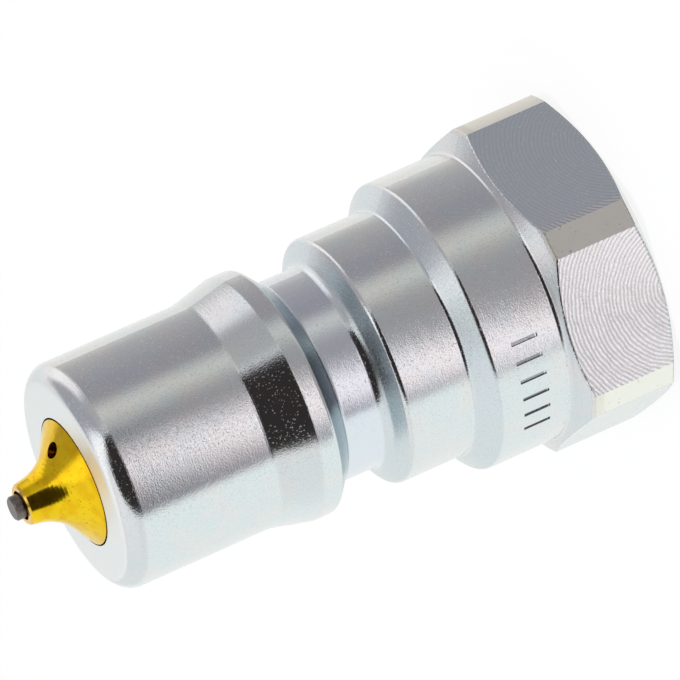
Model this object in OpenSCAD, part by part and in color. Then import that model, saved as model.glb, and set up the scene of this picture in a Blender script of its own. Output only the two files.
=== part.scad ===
// Male half (nipple) of a poppet quick coupling, female pipe thread at the hexagon end.
// Stands on its hexagon, +Z runs up the axis to the nose, origin at the centre of the rear face.
// Millimetres.

/* [Body outside] */
// Length of the steel body, rear face to nose face
body_length = 35; // [33:0.5:38]
// Diameter of the nose that enters the socket
nose_d = 14.2; // [14:0.1:14.8]
// Rounding of the nose's front edge
nose_round = 1.2; // [0.8:0.05:1.4]
// Distance from the nose face to the start of the ramp
nose_length = 9.75; // [9:0.05:10.2]
// Diameter of the ridge at the top of the ramp
ridge_d = 15.5; // [15.2:0.1:15.8]
// Length of the ramp
ramp_length = 2.65; // [2.2:0.05:2.8]
// Rounding of the ramp's foot
ramp_round = 1.5; // [0.8:0.1:2]
// Length of the ridge's crest
crest_length = 1.15; // [0.8:0.05:1.5]
// Rounding of the ridge's edges
ridge_round = 0.35; // [0.2:0.05:0.5]
// Diameter of the locking groove's floor
groove_d = 12.7; // [12.4:0.1:13]
// Length of the sloping flank between ridge and groove floor
groove_flank = 1.2; // [0.8:0.1:1.4]
// Length of the locking groove, from the flank's foot to the front collar's edge
groove_length = 3.45; // [3.2:0.05:3.8]
// Fillet where the front collar's face meets the groove's floor
groove_fillet = 0.8; // [0.5:0.1:1.1]
// Diameter of the front collar
collar_d = 15.6; // [15.2:0.1:16]
// Length of the front collar, from its edge to the rear collar's edge
collar_length = 5.3; // [4.8:0.05:5.8]
// Steepness of the front collar's face against the axis
collar_face = 62; // [55:1:68]
// Diameter of the rear collar
band_d = 18.3; // [18:0.1:18.8]
// Length of the rear collar, from its edge to the hexagon
band_length = 4.7; // [4.4:0.05:5.4]
// Steepness of the rear collar's face against the axis
band_face = 53; // [48:1:60]
// Rounding of both collars' front edges
edge_round = 0.32; // [0.2:0.02:0.4]
// Small fillet at the foot of the rear collar and of the hexagon
hex_fillet = 0.3; // [0.1:0.05:0.4]

/* [Hexagon] */
// Width across the flats
hex_flats = 19; // [19:0.25:20]
// Diameter of the round bar that the flats are milled from
hex_bar_d = 21; // [20.7:0.1:21.4]
// Angle of the turned chamfers, from the face
chamfer_angle = 30; // [25:1:35]
// Length of the rear chamfer
rear_chamfer = 0.65; // [0.4:0.05:0.9]

/* [Dashes on the rear collar] */
// Number of rolled dashes
dash_count = 6; // [5:1:8]
// Angle between two dashes
dash_pitch = 7.9; // [7:0.1:9]
// Angle of the first dash about the axis
dash_start = -86.4; // [-95:0.1:-80]
// Length of a dash
dash_length = 1.75; // [1.2:0.05:2.2]
// Width of a dash
dash_width = 0.26; // [0.15:0.01:0.35]
// Depth of a dash
dash_depth = 0.09; // [0.05:0.01:0.15]

/* [Body inside] */
// Diameter of the opening in the nose face
mouth_d = 8.1; // [7.8:0.1:8.4]
// Length of the opening before the seat cone
mouth_length = 1.3; // [1.1:0.1:1.5]
// Diameter of the valve chamber
chamber_d = 10.7; // [10.6:0.1:11]
// Height of the shoulder that the valve guide leans on, above the rear face
guide_shoulder_z = 15.6; // [15:0.1:16.2]
// Diameter of the guide's bore
guide_bore_d = 11.2; // [11.1:0.1:11.3]
// Diameter of the snap ring's groove
ring_groove_d = 12.2; // [12:0.1:12.6]
// Major diameter of the pipe thread
thread_d = 13.16; // [12.9:0.02:13.4]
// Depth of the thread from the rear face
thread_depth = 11; // [10:0.25:12]
// Width of the chamfer at the thread's mouth
thread_chamfer = 0.5; // [0.3:0.1:0.8]

/* [Valve head] */
// How far the brass nose stands out of the body, which is also the valve's travel
head_reach = 3.5; // [3:0.1:3.8]
// Radius of the brass nose at its tip
head_tip_r = 1.28; // [1.2:0.02:1.4]
// Steepness of the neck against the axis
neck_angle = 9; // [6:1:11]
// Steepness of the flare against the axis
flare_angle = 56; // [52:1:60]
// Radius of the curve between neck and flare
flare_round = 2.9; // [2.6:0.1:3.1]
// Length of the neck before the curve
neck_length = 0.62; // [0.4:0.02:0.8]
// Radial clearance of the head in the opening
head_gap = 0.1; // [0.06:0.01:0.14]
// Length of the head's cylinder behind its rim
rim_length = 1.7; // [1.6:0.05:1.8]
// Diameter of the vent hole in the flare
vent_d = 1; // [0.8:0.05:1.1]
// Distance of the vent hole's mouth from the axis
vent_r = 2.69; // [2.5:0.05:2.9]
// Angle of the vent hole about the axis
vent_turn = -12; // [-20:1:0]

/* [Valve seal] */
// Diameter of the seal's cord
seal_cord_d = 1.2; // [1.1:0.05:1.3]
// Diameter of the groove floor that the seal sits on
seal_floor_d = 7.2; // [7:0.1:7.4]
// Gap left between a seal and its seat
seal_gap = 0.02; // [0.01:0.01:0.04]

/* [Valve stem and guide] */
// Diameter of the stem
stem_d = 5; // [4.8:0.1:5.2]
// Bore through the stem
stem_bore_d = 3.8; // [3.6:0.1:4]
// Diameter of the stem's flange
flange_d = 9.8; // [9.4:0.1:10]
// Thickness of the stem's flange
flange_thickness = 1; // [0.8:0.1:1.3]
// Diameter of the hub that centres the spring
spring_hub_d = 6.4; // [6:0.1:6.6]
// Height of the hub that centres the spring
spring_hub_h = 1; // [0.6:0.1:1.4]
// Diameter of the stem's screwed front end
spigot_d = 4.4; // [4.2:0.1:4.6]
// Length of the stem's screwed front end
spigot_length = 2; // [1.8:0.1:2.1]
// Thickness of the wall at the front of the stem's bore
stem_wall = 0.9; // [0.7:0.1:1.1]
// How far the stem's end stands behind the guide's hub
stem_tail = 0.5; // [0.2:0.1:1]
// Radial clearance of the stem in the guide
stem_gap = 0.05; // [0.03:0.01:0.08]
// Thickness of the guide's rim and legs
guide_thickness = 1.3; // [1.1:0.1:1.6]
// Length of the guide's hub
guide_hub_length = 3; // [2.4:0.1:3.4]
// Diameter of the guide's hub
guide_hub_d = 7.2; // [6.8:0.1:7.4]
// Width of the guide's rim
guide_rim = 0.8; // [0.6:0.1:0.9]
// Width of a guide leg
guide_leg = 1.8; // [1.4:0.1:2.4]
// Number of guide legs
guide_legs = 3; // [3:1:4]
// Radial clearance of the guide in its bore
guide_gap = 0.05; // [0.03:0.01:0.06]
// Thickness of the snap ring
ring_thickness = 1; // [0.8:0.1:1.2]
// Radial width of the snap ring
ring_width = 0.85; // [0.7:0.05:0.9]
// Opening of the snap ring
ring_opening = 60; // [50:5:80]

/* [Main spring] */
// Diameter of the spring's wire
wire_d = 0.9; // [0.8:0.05:0.95]
// Mean diameter of the spring
coil_d = 7.8; // [7.7:0.05:7.9]
// Number of turns
coil_turns = 8; // [6:0.5:9]

/* [Pilot] */
// Diameter of the pilot pin
pin_d = 1.5; // [1.4:0.05:1.6]
// Radial clearance of the pin in the tip of the head
pin_gap = 0.17; // [0.1:0.01:0.2]
// How far the pilot pin stands out of the head, which is also its travel
pilot_travel = 0.6; // [0.4:0.05:0.8]
// Thickness of the brass tip that guides the pin
tip_length = 2.2; // [1.8:0.1:2.5]
// Diameter of the vent chamber inside the head
vent_chamber_d = 2.7; // [2.6:0.05:2.8]
// Diameter of the hole in the stem's front wall
pilot_port_d = 2.3; // [2.1:0.05:2.4]
// Diameter of the pilot seal's cord
pilot_cord_d = 0.6; // [0.5:0.02:0.62]
// Radial clearance of the pilot's flange in the stem
pilot_flange_gap = 0.12; // [0.08:0.02:0.2]
// Thickness of the pilot's flange
pilot_flange_h = 0.6; // [0.4:0.1:0.8]
// Diameter of the spigot behind the pilot's flange
pilot_spigot_d = 1.9; // [1.6:0.1:2]
// Length of the spigot behind the pilot's flange
pilot_spigot_h = 1; // [0.6:0.1:1.4]
// Length of the pilot spring
pilot_spring_length = 6; // [5:0.25:7]
// Diameter of the pilot spring's wire
pilot_wire_d = 0.35; // [0.3:0.01:0.4]
// Mean diameter of the pilot spring
pilot_coil_d = 2.7; // [2.6:0.05:2.9]
// Number of turns of the pilot spring
pilot_turns = 9; // [7:0.5:10]
// Length of the plug behind the pilot spring
plug_length = 2; // [1.5:0.1:3]
// Bore of the plug
plug_bore_d = 1.2; // [1:0.1:1.4]

/* [Hidden] */
$fn = 96;
// How far a cutter runs past the face it opens
over = 0.5;

// Heights of the body's outline, from the nose face down
ramp_top_z = body_length - nose_length - ramp_length;
ridge_rear_z = ramp_top_z - crest_length;
groove_front_z = ridge_rear_z - groove_flank;
collar_edge_z = groove_front_z - groove_length;
collar_foot_z = collar_edge_z + (collar_d - groove_d) / 2 / tan(collar_face);
band_edge_z = collar_edge_z - collar_length;
band_foot_z = band_edge_z + (band_d - collar_d) / 2 / tan(band_face);
hex_front_z = band_edge_z - band_length;
hex_bar_z = hex_front_z - (hex_bar_d - band_d) / 2 * tan(chamfer_angle);
rear_r = hex_bar_d / 2 - rear_chamfer / tan(chamfer_angle);
dash_z = hex_front_z + band_length / 2;

// Heights inside the body
mouth_rear_z = body_length - mouth_length;
chamber_front_z = mouth_rear_z - (chamber_d - mouth_d) / 2;
guide_rear_z = guide_shoulder_z - guide_thickness;
ring_gap = 0.05;
ring_groove_z = guide_rear_z - ring_thickness - 2 * ring_gap;

// Valve head, seal and stem
rim_d = mouth_d - 2 * head_gap;
tip_z = body_length + head_reach;
seal_r = (seal_floor_d + seal_cord_d) / 2;
// The seal's cord lies a gap inside the 45 degree seat cone
seal_z = mouth_rear_z + mouth_d / 2 - seal_r - (seal_cord_d / 2 + seal_gap) * sqrt(2);
flange_z = seal_z - seal_cord_d / 2;
flange_rear_z = flange_z - flange_thickness;
spigot_z = flange_z + spigot_length;
port_z = spigot_z - stem_wall;
stem_end_z = guide_shoulder_z - guide_hub_length - stem_tail;

// Pilot
pilot_seal_z = port_z - seal_gap - pilot_cord_d / 2;
pilot_flange_z = pilot_seal_z - pilot_cord_d / 2;
pilot_rear_z = pilot_flange_z - pilot_flange_h;
pilot_seal_r = (pilot_port_d + pilot_cord_d) / 2;
pilot_hub_d = pilot_port_d - 0.04;
plug_z = pilot_rear_z - pilot_spring_length;

// Points of an arc about [x, z], from angle a to angle b
function arc(x, z, r, a, b, n = 8) =
    [for (i = [0:n]) let (t = a + (b - a) * i / n) [x + r * cos(t), z + r * sin(t)]];

// Points that round the corner at b, between a and c, with a radius
function corner(a, b, c, r) =
    let (u = (a - b) / norm(a - b), v = (c - b) / norm(c - b), half = acos(u * v) / 2,
         centre = b + (u + v) / norm(u + v) * r / sin(half), first = b + u * r / tan(half) - centre,
         sweep = (180 - 2 * half) * sign(u[1] * v[0] - u[0] * v[1]), steps = max(3, ceil(abs(sweep) / 5)))
    [for (i = [0:steps]) let (t = sweep * i / steps)
        centre + [first[0] * cos(t) - first[1] * sin(t), first[0] * sin(t) + first[1] * cos(t)]];

// Outline through points [x, z, radius], where a radius rounds that corner
function rounded(points) =
    [for (i = [0:len(points) - 1]) let (p = points[i], here = [p[0], p[1]])
        each p[2] == 0 ? [here]
            : corner([points[i - 1][0], points[i - 1][1]], here, [points[i + 1][0], points[i + 1][1]], p[2])];

// Ring of points round one place on a helix, in the plane through the axis
function wire_ring(r, wr, turn, z, sides) =
    [for (k = [0:sides - 1]) let (a = 360 * (k + 0.5) / sides)
        [(r + wr * cos(a)) * cos(turn), (r + wr * cos(a)) * sin(turn), z + wr * sin(a)]];

// Height along a spring with one closed turn at each end, as t runs from 0 to turns
function spring_rise(t, turns, low, high, wire) =
    t < 1 ? low + wire * t
    : t > turns - 1 ? high - wire * (turns - t)
    : low + wire + (high - low - 2 * wire) * (t - 1) / (turns - 2);

// Coil spring with closed ends between two heights
module spring(z0, z1, mean_d, wire, turns, sides, steps) {
    rings = round(turns * steps);
    wr = wire / 2;
    low = z0 + wr;
    high = z1 - wr;
    points = [for (i = [0:rings])
        each wire_ring(mean_d / 2, wr, 360 * i / steps, spring_rise(i / steps, turns, low, high, wire),
                       sides)];
    walls = [for (i = [0:rings - 1], k = [0:sides - 1]) let (n = (k + 1) % sides)
        [i * sides + k, (i + 1) * sides + k, (i + 1) * sides + n, i * sides + n]];
    first = [for (k = [0:sides - 1]) k];
    last = [for (k = [sides - 1:-1:0]) rings * sides + k];
    polyhedron(points = points, faces = concat(walls, [first, last]), convexity = 6);
}

// Rubber ring of a round cord
module o_ring(mean_r, z, cord) {
    translate([0, 0, z])
        rotate_extrude() translate([mean_r, 0]) circle(d = cord, $fn = 32);
}

// Outline of the turned bar in half section
module body_outline() {
    groove_r = groove_d / 2;
    ridge_r = ridge_d / 2;
    polygon(rounded([
        [0, 0, 0], [rear_r, 0, 0], [hex_bar_d / 2, rear_chamfer, 0], [hex_bar_d / 2, hex_bar_z, 0],
        [band_d / 2, hex_front_z, hex_fillet], [band_d / 2, band_edge_z, edge_round],
        [collar_d / 2, band_foot_z, hex_fillet], [collar_d / 2, collar_edge_z, edge_round],
        [groove_r, collar_foot_z, groove_fillet], [groove_r, groove_front_z, edge_round],
        [ridge_r, ridge_rear_z, ridge_round], [ridge_r, ramp_top_z, 2 * ridge_round],
        [nose_d / 2, ramp_top_z + ramp_length, ramp_round], [nose_d / 2, body_length, nose_round],
        [0, body_length, 0]]));
}

// Flow passage, valve chamber, guide bore, ring groove and thread space in half section
module body_passage() {
    thread_r = thread_d / 2;
    polygon([
        [0, -over], [thread_r + thread_chamfer + over, -over],
        [thread_r + thread_chamfer, 0], [thread_r, thread_chamfer], [thread_r, thread_depth],
        [guide_bore_d / 2, thread_depth + (thread_d - guide_bore_d) / 2 * tan(chamfer_angle)],
        [guide_bore_d / 2, ring_groove_z], [ring_groove_d / 2, ring_groove_z],
        [ring_groove_d / 2, guide_rear_z], [guide_bore_d / 2, guide_rear_z],
        [guide_bore_d / 2, guide_shoulder_z], [chamber_d / 2 - 0.4, guide_shoulder_z],
        [chamber_d / 2 - 0.4, guide_shoulder_z + 0.6], [chamber_d / 2, guide_shoulder_z + 1],
        [chamber_d / 2, chamber_front_z], [mouth_d / 2, mouth_rear_z],
        [mouth_d / 2, body_length + over], [0, body_length + over]]);
}

// Steel body: turned outline, milled hexagon, bored passage and rolled dashes
module nipple_body() {
    color("silver") difference() {
        intersection() {
            rotate_extrude() body_outline();
            union() {
                cylinder(d = hex_flats / cos(30), h = hex_front_z, $fn = 6);
                translate([0, 0, hex_front_z - over]) cylinder(d = band_d + over, h = body_length);
            }
        }
        rotate_extrude() body_passage();
        for (i = [0:dash_count - 1])
            rotate([0, 0, dash_start - i * dash_pitch])
                translate([band_d / 2 - dash_depth, -dash_width / 2, dash_z - dash_length / 2])
                    cube([over, dash_width, dash_length]);
    }
}

// Half section of the brass head: trumpet nose, rim, seal groove
module head_outline() {
    curve_x = head_tip_r + neck_length * tan(neck_angle) + flare_round * cos(neck_angle);
    curve_z = tip_z - neck_length + flare_round * sin(neck_angle);
    flare = arc(curve_x, curve_z, flare_round, 180 + neck_angle, 180 + flare_angle, 10);
    end = flare[len(flare) - 1];
    tip_round = 0.12;
    polygon(concat(
        [[0, flange_z], [seal_floor_d / 2, flange_z], [seal_floor_d / 2, body_length - rim_length],
         [rim_d / 2, body_length - rim_length],
         [rim_d / 2, end[1] - (rim_d / 2 - end[0]) / tan(flare_angle)]],
        [for (i = [len(flare) - 1:-1:0]) flare[i]],
        [[head_tip_r, tip_z - tip_round], [head_tip_r - tip_round, tip_z], [0, tip_z]]));
}

// Height of the trumpet's surface where the vent hole opens
function vent_mouth_z() =
    body_length + (rim_d / 2 - vent_r) / tan(flare_angle) + 0.05;

// Brass valve head with the pilot's passage and the drilled vent
module poppet_head() {
    color("gold") difference() {
        rotate_extrude() head_outline();
        translate([0, 0, flange_z - over]) cylinder(d = spigot_d, h = spigot_length + over);
        translate([0, 0, spigot_z - over]) cylinder(d = vent_chamber_d, h = tip_z - tip_length - spigot_z + over);
        translate([0, 0, flange_z]) cylinder(d = pin_d + 2 * pin_gap, h = tip_z);
        rotate([0, 0, vent_turn]) translate([vent_r, 0, vent_mouth_z()]) rotate([0, 90 - flare_angle, 0])
            translate([0, 0, -(vent_r - vent_chamber_d / 4) / sin(90 - flare_angle)])
                cylinder(d = vent_d, h = vent_r / sin(90 - flare_angle) + 2);
    }
}

// Rubber ring that closes the valve
module poppet_seal() {
    color("dimgray") o_ring(seal_r, seal_z, seal_cord_d);
}

// Steel stem: screwed spigot, flange behind the seal, spring hub and hollow shank
module poppet_stem() {
    color("lightgray") difference() {
        union() {
            translate([0, 0, stem_end_z]) cylinder(d = stem_d, h = flange_rear_z - stem_end_z);
            translate([0, 0, flange_rear_z - spring_hub_h]) cylinder(d = spring_hub_d, h = spring_hub_h);
            translate([0, 0, flange_rear_z]) cylinder(d = flange_d, h = flange_thickness);
            translate([0, 0, flange_z]) cylinder(d = spigot_d, h = spigot_length);
        }
        translate([0, 0, stem_end_z - over]) cylinder(d = stem_bore_d, h = port_z - stem_end_z + over);
        translate([0, 0, port_z - over]) cylinder(d = pilot_port_d, h = stem_wall + 2 * over);
    }
}

// Coil spring that closes the valve
module main_spring() {
    color("slategray") spring(guide_shoulder_z, flange_rear_z, coil_d, wire_d, coil_turns, 8, 16);
}

// Guide with a hub for the stem, open between its legs for the flow
module valve_guide() {
    rim_r = guide_bore_d / 2 - guide_gap;
    color("lightsteelblue") difference() {
        union() {
            translate([0, 0, guide_rear_z]) difference() {
                cylinder(r = rim_r, h = guide_thickness);
                translate([0, 0, -over]) cylinder(r = rim_r - guide_rim, h = guide_thickness + 2 * over);
            }
            translate([0, 0, guide_shoulder_z - guide_hub_length]) cylinder(d = guide_hub_d, h = guide_hub_length);
            for (i = [0:guide_legs - 1])
                rotate([0, 0, 360 / guide_legs * i])
                    translate([(guide_hub_d / 2 + stem_d / 2) / 2, -guide_leg / 2, guide_rear_z])
                        cube([rim_r - guide_rim / 2 - (guide_hub_d / 2 + stem_d / 2) / 2, guide_leg, guide_thickness]);
        }
        translate([0, 0, guide_shoulder_z - guide_hub_length - over])
            cylinder(d = stem_d + 2 * stem_gap, h = guide_hub_length + 2 * over);
    }
}

// Snap ring that holds the guide against its shoulder
module retaining_ring() {
    outer_r = ring_groove_d / 2 - ring_gap;
    lug_r = 0.75;
    lug_hole_r = 0.35;
    lug_turn = ring_opening / 2 + 8;
    color("darkslategray") translate([0, 0, ring_groove_z + ring_gap]) difference() {
        union() {
            difference() {
                cylinder(r = outer_r, h = ring_thickness);
                translate([0, 0, -over]) cylinder(r = outer_r - ring_width, h = ring_thickness + 2 * over);
                translate([0, 0, -over]) linear_extrude(ring_thickness + 2 * over)
                    polygon([[0, 0], [2 * outer_r * cos(ring_opening / 2), 2 * outer_r * sin(ring_opening / 2)],
                             [2 * outer_r, 0],
                             [2 * outer_r * cos(ring_opening / 2), -2 * outer_r * sin(ring_opening / 2)]]);
            }
            for (side = [-1, 1])
                rotate([0, 0, side * lug_turn]) translate([outer_r - ring_width - lug_r / 3, 0, 0])
                    cylinder(r = lug_r, h = ring_thickness);
        }
        for (side = [-1, 1])
            rotate([0, 0, side * lug_turn]) translate([outer_r - ring_width - lug_r / 3, 0, -over])
                cylinder(r = lug_hole_r, h = ring_thickness + 2 * over);
    }
}

// Pilot pin with its flange, seal hub and spring spigot
module pilot_pin() {
    top_z = tip_z + pilot_travel;
    pin_chamfer = 0.1;
    pin_r = pin_d / 2;
    hub_r = pilot_hub_d / 2;
    flange_r = stem_bore_d / 2 - pilot_flange_gap;
    spigot_r = pilot_spigot_d / 2;
    color("gray") rotate_extrude() polygon([
        [0, pilot_rear_z - pilot_spigot_h], [spigot_r, pilot_rear_z - pilot_spigot_h],
        [spigot_r, pilot_rear_z], [flange_r, pilot_rear_z], [flange_r, pilot_flange_z],
        [hub_r, pilot_flange_z], [hub_r, pilot_seal_z], [pin_r, pilot_seal_z],
        [pin_r, top_z - pin_chamfer], [pin_r - pin_chamfer, top_z], [0, top_z]]);
}

// Rubber ring of the pilot
module pilot_seal() {
    color("dimgray") o_ring(pilot_seal_r, pilot_seal_z, pilot_cord_d);
}

// Coil spring that closes the pilot
module pilot_spring() {
    color("slategray") spring(plug_z, pilot_rear_z, pilot_coil_d, pilot_wire_d, pilot_turns, 6, 12);
}

// Drilled plug screwed into the stem behind the pilot spring
module pilot_plug() {
    color("lightgray") translate([0, 0, plug_z - plug_length]) difference() {
        cylinder(d = stem_bore_d, h = plug_length);
        translate([0, 0, -over]) cylinder(d = plug_bore_d, h = plug_length + 2 * over);
    }
}

nipple_body();
poppet_head();
poppet_seal();
poppet_stem();
main_spring();
valve_guide();
retaining_ring();
pilot_pin();
pilot_seal();
pilot_spring();
pilot_plug();
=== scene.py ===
import math

import bmesh
import bpy
from mathutils import Matrix, Vector


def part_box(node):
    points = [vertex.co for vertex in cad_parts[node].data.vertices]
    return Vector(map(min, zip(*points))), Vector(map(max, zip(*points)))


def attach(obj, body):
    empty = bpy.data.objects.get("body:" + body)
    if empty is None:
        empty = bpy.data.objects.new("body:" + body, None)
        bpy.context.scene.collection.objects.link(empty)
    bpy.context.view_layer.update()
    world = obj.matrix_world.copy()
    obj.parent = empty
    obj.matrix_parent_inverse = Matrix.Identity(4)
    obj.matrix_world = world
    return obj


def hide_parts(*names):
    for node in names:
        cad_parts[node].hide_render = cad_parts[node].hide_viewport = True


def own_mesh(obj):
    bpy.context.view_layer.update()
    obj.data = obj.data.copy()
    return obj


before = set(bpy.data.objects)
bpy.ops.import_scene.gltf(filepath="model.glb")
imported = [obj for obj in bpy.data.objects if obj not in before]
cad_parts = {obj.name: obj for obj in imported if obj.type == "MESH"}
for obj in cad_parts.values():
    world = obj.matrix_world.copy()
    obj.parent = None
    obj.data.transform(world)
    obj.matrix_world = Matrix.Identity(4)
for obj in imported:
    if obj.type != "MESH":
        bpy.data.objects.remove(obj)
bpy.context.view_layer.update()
mm = 0.001


class Wire:
    # a node's output that Python's operators can work on; each operator adds a Math node
    def __init__(self, shader, socket):
        self.shader = shader
        self.socket = socket

    def out(self, name):
        return Wire(self.shader, self.socket.node.outputs[name])

    def maths(self, operation, *values):
        return self.shader.add("ShaderNodeMath", {"operation": operation}, dict(enumerate(values)))

    def __add__(self, other):
        return self.maths("ADD", self, other)

    def __radd__(self, other):
        return self.maths("ADD", other, self)

    def __sub__(self, other):
        return self.maths("SUBTRACT", self, other)

    def __rsub__(self, other):
        return self.maths("SUBTRACT", other, self)

    def __mul__(self, other):
        return self.maths("MULTIPLY", self, other)

    def __rmul__(self, other):
        return self.maths("MULTIPLY", other, self)

    def __truediv__(self, other):
        return self.maths("DIVIDE", self, other)

    def __rtruediv__(self, other):
        return self.maths("DIVIDE", other, self)

    def __pow__(self, other):
        return self.maths("POWER", self, other)

    def __gt__(self, other):
        return self.maths("GREATER_THAN", self, other)

    def __lt__(self, other):
        return self.maths("LESS_THAN", self, other)

    def sine(self):
        return self.maths("SINE", self)

    def cosine(self):
        return self.maths("COSINE", self)

    def least(self, other):
        return self.maths("MINIMUM", self, other)

    def most(self, other):
        return self.maths("MAXIMUM", self, other)

    def rise(self, low, high):
        # 0 below low, 1 above high, smooth between
        return self.shader.add("ShaderNodeMapRange", {"interpolation_type": "SMOOTHSTEP"},
                               {0: self, 1: low, 2: high, 3: 0.0, 4: 1.0})

    def between(self, low, high, soft):
        return self.rise(low - soft, low + soft) * (1 - self.rise(high - soft, high + soft))


class Shader:
    # the node tree of a material or of the world
    def __init__(self, owner):
        owner.use_nodes = True
        self.tree = owner.node_tree
        self.tree.nodes.clear()

    def add(self, kind, settings=None, values=None, output=0):
        node = self.tree.nodes.new(kind)
        for name, setting in (settings or {}).items():
            if name == "stops":
                self.setStops(node.color_ramp, setting)
            else:
                setattr(node, name, setting)
        for key, value in (values or {}).items():
            if isinstance(value, Wire):
                self.tree.links.new(value.socket, node.inputs[key])
            else:
                node.inputs[key].default_value = value
        return Wire(self, node.outputs[output]) if len(node.outputs) else node

    def setStops(self, ramp, stops):
        while len(ramp.elements) < len(stops):
            ramp.elements.new(0.5)
        for element, (place, colour) in zip(ramp.elements, stops):
            element.position = place
            element.color = (*colour, 1)

    def mix(self, share, low, high):
        # a blend of two colours
        low, high = (v if isinstance(v, Wire) else (*v, 1) for v in (low, high))
        return self.add("ShaderNodeMix", {"data_type": "RGBA"}, {0: share, 6: low, 7: high}, 2)

    def noise(self, place, scale, detail=2.0, rough=0.5):
        return self.add("ShaderNodeTexNoise", None,
                        {"Vector": place, "Scale": scale, "Detail": detail, "Roughness": rough})

    def join(self, x, y, z):
        return self.add("ShaderNodeCombineXYZ", None, {0: x, 1: y, 2: z})

    def bump(self, height, size, normal=None):
        values = {"Height": height, "Distance": size, "Strength": 1.0}
        if normal:
            values["Normal"] = normal
        return self.add("ShaderNodeBump", None, values)

    def coat(self, colour, roughness, normal, metallic=0.0):
        # ends a material with the one shader that every finish here uses
        surface = self.add("ShaderNodeBsdfPrincipled", None, {
            "Base Color": colour, "Metallic": metallic, "Roughness": roughness, "Normal": normal})
        self.add("ShaderNodeOutputMaterial", None, {"Surface": surface})


def newMaterial(name):
    material = bpy.data.materials.new(name)
    return material, Shader(material)


def pieceSpot(shader):
    # a spot on the piece in millimetres: the whole, x, y, z, distance from the axis, angle about it
    place = shader.add("ShaderNodeTexCoord").out("Object")
    scaled = shader.add("ShaderNodeVectorMath", {"operation": "SCALE"}, {0: place, 3: 1 / mm})
    parts = shader.add("ShaderNodeSeparateXYZ", None, {0: scaled})
    x, y, z = parts.out("X"), parts.out("Y"), parts.out("Z")
    return scaled, x, y, z, (x * x + y * y) ** 0.5, y.maths("ARCTAN2", y, x)


# degrees, and millimetres for the rest
cameraSetup = {
    "azimuth": 22.6, "elevation": 18.0, "roll": 113.8, "lens": 423.5, "sensor": 36,
    "distance": 465.1, "aim": (3.293, -4.475, 18.389), "nearest": 10, "farthest": 10000,
}


def makeCamera(setup):
    azimuth, elevation = math.radians(setup["azimuth"]), math.radians(setup["elevation"])
    back = Vector((math.sin(azimuth) * math.cos(elevation),
                   -math.cos(azimuth) * math.cos(elevation),
                   math.sin(elevation)))
    data = bpy.data.cameras.new("camera")
    data.lens = setup["lens"]
    data.sensor_width = setup["sensor"]
    data.clip_start = setup["nearest"] * mm
    data.clip_end = setup["farthest"] * mm
    camera = bpy.data.objects.new("camera", data)
    bpy.context.collection.objects.link(camera)
    camera.location = (Vector(setup["aim"]) + back * setup["distance"]) * mm
    roll = Matrix.Rotation(math.radians(-setup["roll"]), 3, "Z")
    camera.rotation_mode = "QUATERNION"
    camera.rotation_quaternion = ((-back).to_track_quat("-Z", "Y").to_matrix() @ roll).to_quaternion()
    bpy.context.scene.camera = camera


# what the plating mirrors: a pale table on one side, a grey room on the other, a dark card in front
studio = {
    # colour against the direction about the coupling's axis, in degrees, near and below eye level
    "low": [
        (-180, (0.93, 1.0, 0.98)), (-126, (0.93, 1.0, 0.98)), (-122, (0.30, 0.30, 0.33)),
        (-112, (0.35, 0.35, 0.38)), (-100, (0.39, 0.39, 0.41)), (-50, (0.37, 0.37, 0.38)),
        (-36, (0.41, 0.41, 0.42)), (-30, (0.5, 0.51, 0.49)), (-20, (0.66, 0.68, 0.64)),
        (-11, (0.56, 0.57, 0.55)), (-3, (0.34, 0.34, 0.36)), (12, (0.34, 0.34, 0.37)),
        (30, (0.39, 0.39, 0.41)), (46, (0.45, 0.45, 0.46)), (61, (0.55, 0.55, 0.54)),
        (67, (0.87, 0.87, 0.84)), (92, (0.95, 0.95, 0.92)), (180, (0.93, 1.0, 0.98))],
    # the same above eye level, with the window in the grey room
    "middle": [
        (-180, (0.85, 0.9, 0.89)), (-38, (0.85, 0.86, 0.87)), (-30, (0.47, 0.48, 0.47)),
        (4, (0.42, 0.42, 0.44)), (16, (0.9, 0.9, 0.92)), (52, (1.08, 1.08, 1.08)),
        (72, (0.95, 0.95, 0.95)), (96, (0.85, 0.88, 0.87)), (180, (0.85, 0.9, 0.89))],
    "eyeLevel": (-5, 1),
    # overhead: one long light across the room, white on its one side and grey on the other
    "roof": [
        (-0.4, (0.88, 0.92, 0.93)), (-0.08, (0.88, 0.92, 0.93)), (-0.02, (0.7, 0.72, 0.73)),
        (0.06, (1.15, 1.15, 1.15)), (0.30, (1.15, 1.15, 1.15)), (0.38, (0.40, 0.40, 0.43)),
        (1.6, (0.42, 0.42, 0.45))],
    "roofAcross": (0.73, 0.683), "roofRise": (23, 33), "leastUp": 0.1,
    # over the table, from these directions on, the roof starts this much higher
    "tableTurn": (72, 92), "tableRise": 14,
    # a leaning strip of light below the dark card: degrees across it and brightness there
    "strip": [(-126, 0.0), (-116, 0.06), (-104, 0.52), (-98, 0.82), (-92, 1.0), (-80, 1.0),
              (-70, 0.88), (-65.5, 0.04), (-60, 0.0)],
    "stripColour": (1.15, 1.10, 1.12), "stripLean": 3.0, "stripHeight": -16,
    "stripStart": -123, "stripSoft": 2,
    # the dark card's top falls away on the room's side of its peak
    "darkCard": {"from": -121, "to": -38, "low": -9, "top": 75, "peak": -80, "fall": 0.022,
                 "soft": 2.5, "topSoft": 3, "colour": (0.032, 0.028, 0.028)},
}


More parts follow.
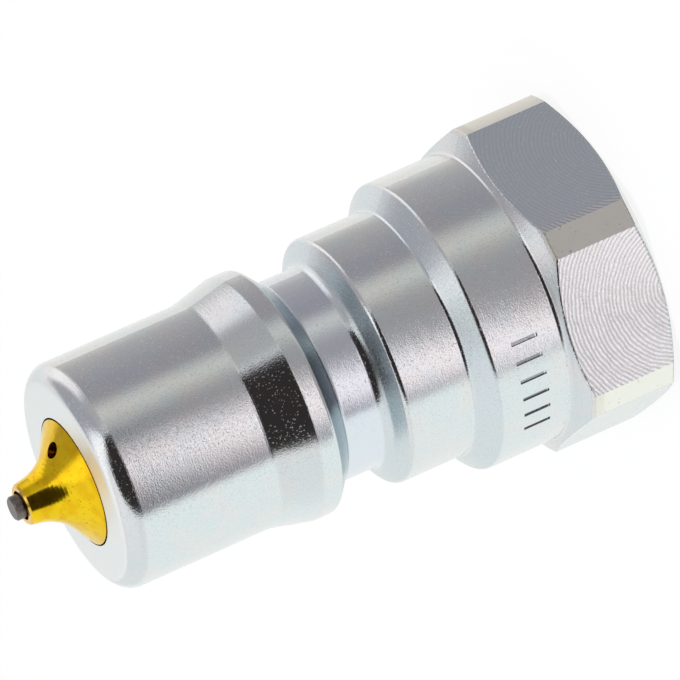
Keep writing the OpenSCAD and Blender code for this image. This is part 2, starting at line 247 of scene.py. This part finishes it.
def makeWorld(setup):
    world = bpy.data.worlds.new("studio")
    bpy.context.scene.world = world
    shader = Shader(world)
    facing = shader.add("ShaderNodeTexCoord").out("Generated")
    direction = shader.add("ShaderNodeSeparateXYZ", None, {0: facing})
    x, y, z = direction.out("X"), direction.out("Y"), direction.out("Z")
    turn = y.maths("ARCTAN2", y, x) * (180 / math.pi)
    height = z.maths("ARCSINE", z) * (180 / math.pi)

    def ramp(stops, value):
        low, high = stops[0][0], stops[-1][0]
        spread = [((place - low) / (high - low), colour) for place, colour in stops]
        return shader.add("ShaderNodeValToRGB", {"stops": spread}, {0: (value - low) / (high - low)})

    leaning = turn - (height - setup["stripHeight"]) * setup["stripLean"]
    strip = ramp([(place, (share,) * 3) for place, share in setup["strip"]], leaning)
    strip = strip * (1 - turn.between(-180, setup["stripStart"], setup["stripSoft"]))
    low = shader.mix(strip, ramp(setup["low"], turn), setup["stripColour"])
    room = shader.mix(height.rise(*setup["eyeLevel"]), low, ramp(setup["middle"], turn))
    along, aside = setup["roofAcross"]
    overhead = (x * along + y * aside) / z.most(setup["leastUp"])
    eaves = height - turn.rise(*setup["tableTurn"]) * setup["tableRise"]
    room = shader.mix(eaves.rise(*setup["roofRise"]), room, ramp(setup["roof"], overhead))
    card = setup["darkCard"]
    past = (turn - card["peak"]).most(0)
    dark = turn.between(card["from"], card["to"], card["soft"])
    dark = dark * height.rise(card["low"] - card["soft"], card["low"] + card["soft"])
    under = card["top"] - past * past * card["fall"] - height
    dark = dark * under.rise(-card["topSoft"], card["topSoft"])
    room = shader.mix(dark, room, card["colour"])
    seen = shader.add("ShaderNodeLightPath").out("Is Camera Ray")
    colour = shader.mix(seen, room, (1, 1, 1))
    background = shader.add("ShaderNodeBackground", None, {"Color": colour, "Strength": 1.0})
    shader.add("ShaderNodeOutputWorld", None, {"Surface": background})


# metres; the floor lies a hair below the piece, and the camera sees it mostly as plain white
floorSetup = {"size": 3.0, "drop": 0.00003, "paper": 0.9, "glow": 1.02, "glowShare": 0.86}


def makeFloor(setup):
    size = setup["size"] / 2
    mesh = bpy.data.meshes.new("floor")
    mesh.from_pydata([(-size, -size, 0), (size, -size, 0), (size, size, 0), (-size, size, 0)],
                     [], [(0, 1, 2, 3)])
    floor = bpy.data.objects.new("floor", mesh)
    bpy.context.collection.objects.link(floor)
    material, shader = newMaterial("paleFloor")
    paper = shader.add("ShaderNodeBsdfDiffuse", None, {"Color": (*(setup["paper"],) * 3, 1)})
    glow = shader.add("ShaderNodeEmission", None, {"Color": (1, 1, 1, 1), "Strength": setup["glow"]})
    seen = shader.add("ShaderNodeLightPath").out("Is Camera Ray")
    surface = shader.add("ShaderNodeMixShader", None, {0: seen * setup["glowShare"], 1: paper, 2: glow})
    shader.add("ShaderNodeOutputMaterial", None, {"Surface": surface})
    mesh.materials.append(material)
    floor.location.z = -setup["drop"]
    floor.visible_glossy = False


# metres and watts
lampSetup = {"place": (0.1, -0.25, 0.6), "aim": (0, 0, 0.02), "size": 0.5, "power": 2.2}


def makeLamp(setup):
    data = bpy.data.lights.new("overheadLamp", "AREA")
    data.energy = setup["power"]
    data.shape = "DISK"
    data.size = setup["size"]
    lamp = bpy.data.objects.new("overheadLamp", data)
    bpy.context.collection.objects.link(lamp)
    lamp.location = setup["place"]
    lamp.rotation_mode = "QUATERNION"
    lamp.rotation_quaternion = (Vector(setup["aim"]) - lamp.location).to_track_quat("-Z", "Y")
    lamp.visible_glossy = False


makeCamera(cameraSetup)
makeWorld(studio)
makeFloor(floorSetup)
makeLamp(lampSetup)
bpy.context.scene.view_settings.view_transform = "Standard"
print("studio ready")


zincLook = {
    "colour": (0.80, 0.80, 0.81), "roughness": 0.10,
    # the clear passivation tints the plating in blotches, and more in some zones of height
    "coolTint": (0.74, 0.82, 0.86), "warmTint": (0.86, 0.81, 0.80),
    "tintShare": 0.35, "coolShare": 0.3, "coolPull": 0.8, "blotchSize": 2.0, "blotchEdges": (0.4, 0.62),
    "coolZones": ((16.9, 17.9), (20.2, 21.5), (11.5, 12.6)), "zoneSoft": 0.25,
    # painted shade in the locking groove, on its floor and on its flank under the ridge: heights,
    # softness, tint, share
    "paintedGrooveShade": ((17.9, 20.2, 0.1, (0.78, 0.80, 0.87), 0.8),
                    (20.27, 21.42, 0.06, (0.33, 0.42, 0.46), 0.85)),
    "grainSize": 0.08, "grainDepth": 0.006, "grainColour": (0.52, 0.52, 0.56), "grainShare": 0.22,
    "grainRoughness": 0.06, "grainEdges": (0.4, 0.75),
    "speckSize": 0.1, "speckEdges": (0.72, 0.81), "speckDepth": 0.006,
    "rippleSize": 1.1, "rippleDepth": 0.006,
    # the turned outline bellies out a little about this height
    "bellyHeight": 19, "belly": 0.0014,
    "latheSize": 0.09, "latheDepth": 0.002, "latheSwirl": 0.6,
    # the sloping faces are turned coarser: heights, and the least distance from the axis
    "coarseFaces": ((16.85, 17.65, 0), (11.5, 12.45, 0), (5.4, 6.75, 9.2), (34.93, 36, 0)),
    "coarseSoft": 0.05, "coarseRoughness": 0.25, "coarseDepth": 0.006,
    # the front end face is painted paler, as painted light
    "faceHeight": 34.93, "faceRoughness": 0.42, "litFaceTint": (0.97, 0.98, 0.98), "litFaceShare": 0.9,
    # the rolled dashes are darker inside
    "dashZone": (8.4, 11.0), "dashSoft": 0.01, "dashOut": 9.125,
    "dashColour": (0.22, 0.22, 0.23), "dashShare": 0.7,
    "pitSize": 0.25, "pitEdges": (0.75, 0.78), "pitColour": (0.30, 0.29, 0.28), "pitShare": 0.7,
}

hexagonLook = {
    "top": 6.9, "flatOut": 9.5, "flatWithin": 0.01, "flatSoft": 0.004, "flatRoughness": 0.15,
    # end milling: arcs about a centre below each flat, wavering by scale and amount
    "millCentre": (-0.05, -1.1), "millPitch": 0.245, "millDepth": 0.005, "millWaver": (0.9, 0.3),
    "millShade": (0.60, 0.59, 0.60), "millShadeShare": 0.8, "furrowEdges": (0.4, 0.95),
    # how plainly the arcs show, and the painted light and shade of the flats: the flat that faces -Y is
    # painted paler, the others darker and bluer
    "plain": 1.0, "plainFacing": -0.8, "faint": 0.3,
    "litFlatTint": (0.96, 0.95, 0.95), "shadedFlatTint": (0.77, 0.825, 0.86),
    # the drawn bar's skin at the corners
    "barOut": 10.3, "barSoft": 0.1, "barTint": (1.0, 0.95, 0.87), "barShare": 0.85,
    "barRoughness": 0.36, "barPits": 0.6, "barPitEdges": (0.68, 0.71),
    # the cones that chamfer the corners: radius and height where each starts, steepness
    "cones": ((9.15, 6.8, -0.577), (9.374, 0.0, 0.577)),
    # the broken edges along them, ragged by scale and amount
    "edgeWidth": 0.13, "edgeDrop": 0.45, "edgeRagged": (5.0, 0.08), "edgeReach": 0.06,
}


def makeZinc(look, hexLook):
    material, shader = newMaterial("brightZinc")
    place, _, y, z, away, angle = pieceSpot(shader)
    # the nearest flat of the hexagon and the spot on it; its corners lie on +X and -X
    sixth = math.pi / 3
    turned = angle + 2 * math.pi
    fold = turned.maths("MODULO", turned, sixth) - sixth / 2
    across = away * fold.sine()
    out = away * fold.cosine()
    hexagon = z < hexLook["top"]
    within = hexLook["flatWithin"]
    flat = out.between(hexLook["flatOut"] - within, hexLook["flatOut"] + within, hexLook["flatSoft"])
    flat = flat * hexagon
    bar = away.rise(hexLook["barOut"], hexLook["barOut"] + hexLook["barSoft"]) * hexagon * (1 - flat)

    # plating and its tints
    blotch = shader.noise(place, 1 / look["blotchSize"], 3.0).rise(*look["blotchEdges"])
    cool = 0
    for low, high in look["coolZones"]:
        cool = cool + z.between(low, high, look["zoneSoft"])
    tint = shader.mix(blotch, look["coolTint"], look["warmTint"])
    tint = shader.mix(cool * look["coolPull"], tint, look["coolTint"])
    colour = shader.mix(look["tintShare"] + cool * look["coolShare"], look["colour"], tint)
    grain = shader.noise(place, 1 / look["grainSize"], 1.0, 0.6)
    grains = grain.rise(*look["grainEdges"]) * look["grainShare"]
    colour = shader.mix(grains, colour, look["grainColour"])
    # painted shade: the groove's floor and its flank under the ridge are darkened and blued
    for low, high, soft, tint, share in look["paintedGrooveShade"]:
        colour = shader.mix(z.between(low, high, soft) * share, colour, tint)
    dashes = z.between(*look["dashZone"], look["dashSoft"]) * (away < look["dashOut"])
    colour = shader.mix(dashes * look["dashShare"], colour, look["dashColour"])
    colour = shader.mix(bar * hexLook["barShare"], colour, hexLook["barTint"])
    pits = shader.noise(place, 1 / look["pitSize"], 2.0, 0.6)
    barPits = pits.rise(*hexLook["barPitEdges"]) * bar * hexLook["barPits"]
    pitted = pits.rise(*look["pitEdges"]) + barPits
    colour = shader.mix(pitted.least(1) * look["pitShare"], colour, look["pitColour"])

    # slow waves, the grain, and sparse specks
    belly = (z - look["bellyHeight"]) ** 2 * -look["belly"]
    ripple = shader.noise(place, 1 / look["rippleSize"], 2.0)
    shape = shader.bump(belly + ripple * look["rippleDepth"], mm)
    shape = shader.bump(grain, look["grainDepth"] * mm, shape)
    specks = shader.noise(place, 1 / look["speckSize"], 0.0).rise(*look["speckEdges"])
    shape = shader.bump(specks, look["speckDepth"] * mm, shape)

    # turning marks run round the axis, on cylinders and cones alike
    coarse = 0
    for low, high, least in look["coarseFaces"]:
        coarse = coarse + z.between(low, high, look["coarseSoft"]) * (away > least)
    coarse = coarse * (1 - flat)
    size = look["latheSize"]
    lathe = shader.noise(shader.join(z / size, away / size, angle * look["latheSwirl"]), 1.0, 2.0, 0.6)
    depth = look["latheDepth"] + coarse * look["coarseDepth"]
    shape = shader.bump(lathe * (1 - flat) * depth, mm, shape)
    face = (z > look["faceHeight"]) * coarse

    # end milling leaves arcs on the flats
    aside, up = hexLook["millCentre"]
    scale, amount = hexLook["millWaver"]
    ring = ((across - aside) ** 2 + (z - up) ** 2) ** 0.5 + shader.noise(place, scale, 2.0) * amount
    arcs = (ring * (2 * math.pi / hexLook["millPitch"])).sine() * 0.5 + 0.5
    plain, faint = hexLook["plain"], hexLook["faint"]
    share = (y < away * hexLook["plainFacing"]) * (plain - faint) + faint
    shape = shader.bump(arcs * flat * share, hexLook["millDepth"] * mm, shape)
    # painted light on the flat that faces -Y, painted shade on the others
    colour = shader.mix(flat * (share - faint), colour, hexLook["litFlatTint"])
    colour = shader.mix(flat * (plain - share), colour, hexLook["shadedFlatTint"])
    # painted shade in the milling furrows, plainest on the flat that faces -Y
    furrows = (1 - arcs).rise(*hexLook["furrowEdges"]) * flat * share
    colour = shader.mix(furrows * hexLook["millShadeShare"], colour, hexLook["millShade"])
    # painted light: the front end face is painted near white
    colour = shader.mix(face * look["litFaceShare"], colour, look["litFaceTint"])

    # the hexagon's faces break off raggedly at the chamfers
    scale, amount = hexLook["edgeRagged"]
    ragged = shader.noise(place, scale, 2.0) * amount - amount / 2
    breaks = 0
    for radius, height, steep in hexLook["cones"]:
        inward = (z - height - (away - radius) * steep) * (1 if steep > 0 else -1) + ragged
        breaks = breaks + (hexLook["edgeWidth"] - inward).most(0) ** 2 * (inward > -hexLook["edgeReach"])
    breaks = breaks * hexagon * (flat + (away > hexLook["barOut"])).least(1)
    shape = shader.bump(breaks * (-hexLook["edgeDrop"] / hexLook["edgeWidth"]), mm, shape)

    roughness = look["roughness"] + grain * look["grainRoughness"]
    roughness = roughness + flat * (hexLook["flatRoughness"] - look["roughness"])
    roughness = roughness + bar * (hexLook["barRoughness"] - look["roughness"])
    roughness = roughness + coarse * (look["coarseRoughness"] - look["roughness"])
    roughness = roughness + face * (look["faceRoughness"] - look["coarseRoughness"])
    shader.coat(colour, roughness, shape, metallic=1.0)
    return material


# the grain and the turning marks of the small turned pieces
turnedMarks = {"grainDepth": 0.003, "latheDepth": 0.0015}


def turnedMetal(shader, look, spot):
    place, _, _, z, away, angle = spot
    fine = shader.noise(place, look["grainScale"], 3.0)
    scale, swirl = look["latheScale"], look["latheSwirl"]
    lathe = shader.noise(shader.join(z * scale, away * scale, angle * swirl), 1.0, 3.0, 0.6)
    shape = shader.bump(fine, turnedMarks["grainDepth"] * mm)
    return fine, shader.bump(lathe, turnedMarks["latheDepth"] * mm, shape)


# heights in millimetres: the head's tip edge, and where its flare meets the nose
brassLook = {
    "colour": (1.0, 0.66, 0.015), "deep": (0.84, 0.43, 0.008), "deepShare": 0.5,
    "blotchScale": 1.3, "blotchEdges": (0.4, 0.65),
    "roughness": 0.12, "grainRoughness": 0.1, "grainScale": 9.0, "latheScale": 12, "latheSwirl": 0.7,
    "pit": (0.30, 0.15, 0.02), "pitScale": 4.5, "pitEdges": (0.66, 0.70), "pitShare": 0.7,
    # painted shade darkens the head below where its flare meets the nose
    "flareHeight": 35.35, "flareSoft": 0.5, "flareShadeShare": 0.45,
    # a painted highlight along the head's tip edge
    "rim": (0.95, 0.58, 0.22), "rimHeight": 38.36, "rimSoft": 0.12, "rimShare": 0.7,
}


def makeBrass(look):
    material, shader = newMaterial("turnedBrass")
    spot = pieceSpot(shader)
    place, z = spot[0], spot[3]
    fine, shape = turnedMetal(shader, look, spot)
    blotch = shader.noise(place, look["blotchScale"], 3.0).rise(*look["blotchEdges"])
    colour = shader.mix(blotch * look["deepShare"], look["colour"], look["deep"])
    pits = shader.noise(place, look["pitScale"], 2.0, 0.6).rise(*look["pitEdges"])
    colour = shader.mix(pits * look["pitShare"], colour, look["pit"])
    # painted shade where the head meets the nose
    flare = 1 - z.rise(look["flareHeight"] - look["flareSoft"], look["flareHeight"])
    colour = shader.mix(flare * look["flareShadeShare"], colour, look["deep"])
    # painted highlight: a pale peach band along the tip edge
    rim = z.rise(look["rimHeight"], look["rimHeight"] + look["rimSoft"])
    colour = shader.mix(rim * look["rimShare"], colour, look["rim"])
    shader.coat(colour, look["roughness"] + fine * look["grainRoughness"], shape, metallic=1.0)
    return material


steelLooks = {
    "pinSteel": {"colour": (0.21, 0.18, 0.165), "roughness": 0.3},
    "plainSteel": {"colour": (0.58, 0.59, 0.60), "roughness": 0.25},
    "springSteel": {"colour": (0.42, 0.43, 0.46), "roughness": 0.28},
}


# shared by the three steels: blotches of a darker shade over the turning marks
steelMarks = {"grainScale": 8.0, "latheScale": 14, "latheSwirl": 0.8, "grainRoughness": 0.12,
              "darkEdges": (0.35, 0.65), "darkShare": 0.4, "darker": 0.8}


def makeSteel(name, look, marks):
    material, shader = newMaterial(name)
    fine, shape = turnedMetal(shader, marks, pieceSpot(shader))
    shade = tuple(marks["darker"] * part for part in look["colour"])
    dark = fine.rise(*marks["darkEdges"]) * marks["darkShare"]
    colour = shader.mix(dark, look["colour"], shade)
    shader.coat(colour, look["roughness"] + fine * marks["grainRoughness"], shape, metallic=1.0)
    return material


rubberLook = {"black": (0.012, 0.012, 0.013), "grey": (0.03, 0.03, 0.032), "roughness": 0.5,
              "grainScale": 12.0, "grainRoughness": 0.2, "grainDepth": 0.004}


def makeRubber(look):
    material, shader = newMaterial("blackRubber")
    fine = shader.noise(pieceSpot(shader)[0], look["grainScale"], 3.0)
    colour = shader.mix(fine, look["black"], look["grey"])
    shape = shader.bump(fine, look["grainDepth"] * mm)
    shader.coat(colour, look["roughness"] + fine * look["grainRoughness"], shape)
    return material


zinc = makeZinc(zincLook, hexagonLook)
brass = makeBrass(brassLook)
pinSteel, plainSteel, springSteel = (
    makeSteel(name, look, steelMarks) for name, look in steelLooks.items())
rubber = makeRubber(rubberLook)

finishes = {
    "nipple_body": zinc, "poppet_head": brass, "pilot_pin": pinSteel, "poppet_stem": plainSteel,
    "valve_guide": plainSteel, "pilot_plug": plainSteel, "retaining_ring": springSteel,
    "poppet_seal": rubber, "pilot_seal": rubber, "main_spring": springSteel, "pilot_spring": springSteel,
}
for node, material in finishes.items():
    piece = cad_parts[node]
    piece.data.materials.clear()
    piece.data.materials.append(material)
print("finishes ready")


def sweep(name, material, rings):
    # a tube through rings of points, capped at both ends
    mesh = bmesh.new()
    rows = [[mesh.verts.new(Vector(point) * mm) for point in ring] for ring in rings]
    for row, following in zip(rows, rows[1:]):
        for k in range(len(row)):
            n = (k + 1) % len(row)
            mesh.faces.new((row[k], following[k], following[n], row[n]))
    mesh.faces.new(rows[0][::-1])
    mesh.faces.new(rows[-1])
    bmesh.ops.recalc_face_normals(mesh, faces=mesh.faces)
    data = bpy.data.meshes.new(name)
    mesh.to_mesh(data)
    mesh.free()
    data.materials.append(material)
    piece = bpy.data.objects.new(name, data)
    bpy.context.collection.objects.link(piece)
    return piece


def polar(radius, angle, height):
    return (radius * math.cos(angle), radius * math.sin(angle), height)


# the port's female thread in millimetres: radii, heights, and half widths of the ridge
portThread = {
    "major": 6.6, "minor": 5.72, "pitch": 1.337, "start": 0.7, "end": 10.6,
    "crest": 0.16, "root": 0.58, "steps": 72, "leastRise": 0.04,
}


def makeThread(size):
    turns = (size["end"] - size["start"]) / size["pitch"]
    count = round(turns * size["steps"])
    rings = []
    for i in range(count + 1):
        angle = 2 * math.pi * i / size["steps"]
        height = size["start"] + (size["end"] - size["start"]) * i / count
        # the ridge runs out over half a turn at each end
        fade = min(1.0, i / (size["steps"] / 2), (count - i) / (size["steps"] / 2))
        top = size["major"] - (size["major"] - size["minor"]) * max(fade, size["leastRise"])
        rings.append([polar(size["major"], angle, height - size["root"]),
                      polar(top, angle, height - size["crest"]),
                      polar(top, angle, height + size["crest"]),
                      polar(size["major"], angle, height + size["root"])])
    thread = sweep("port_thread", zinc, rings)
    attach(thread, "housing")


# millimetres: wire, coil through the wire's middle, and the travel that closes the coil up
springs = {
    "main_spring": {"body": "housing", "joint": "poppet_slide",
                    "turns": 8, "wire": 0.9, "coil": 7.8, "travel": 3.5},
    "pilot_spring": {"body": "poppet", "joint": "pilot_slide",
                     "turns": 9, "wire": 0.35, "coil": 2.7, "travel": 0.6},
}


def makeSpring(node, size, steps=32, sides=14):
    low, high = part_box(node)
    wire = size["wire"] / 2
    bottom, top = low.z / mm + wire, high.z / mm - wire
    turns = size["turns"]
    rings = []
    for i in range(turns * steps + 1):
        t = i / steps
        angle = 2 * math.pi * t
        # the end turns lie closed
        if t < 1:
            height = bottom + 2 * wire * t
        elif t > turns - 1:
            height = top - 2 * wire * (turns - t)
        else:
            height = bottom + 2 * wire + (top - bottom - 4 * wire) * (t - 1) / (turns - 2)
        rings.append([polar(size["coil"] / 2 + wire * math.cos(a), angle, height + wire * math.sin(a))
                      for a in (2 * math.pi * k / sides for k in range(sides))])
    spring = sweep(node + "_coil", springSteel, rings)
    for face in spring.data.polygons:
        face.use_smooth = len(face.vertices) == 4
    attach(spring, size["body"])
    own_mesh(spring)
    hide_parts(node)


makeThread(portThread)
for node, size in springs.items():
    makeSpring(node, size)
print("thread and springs ready")
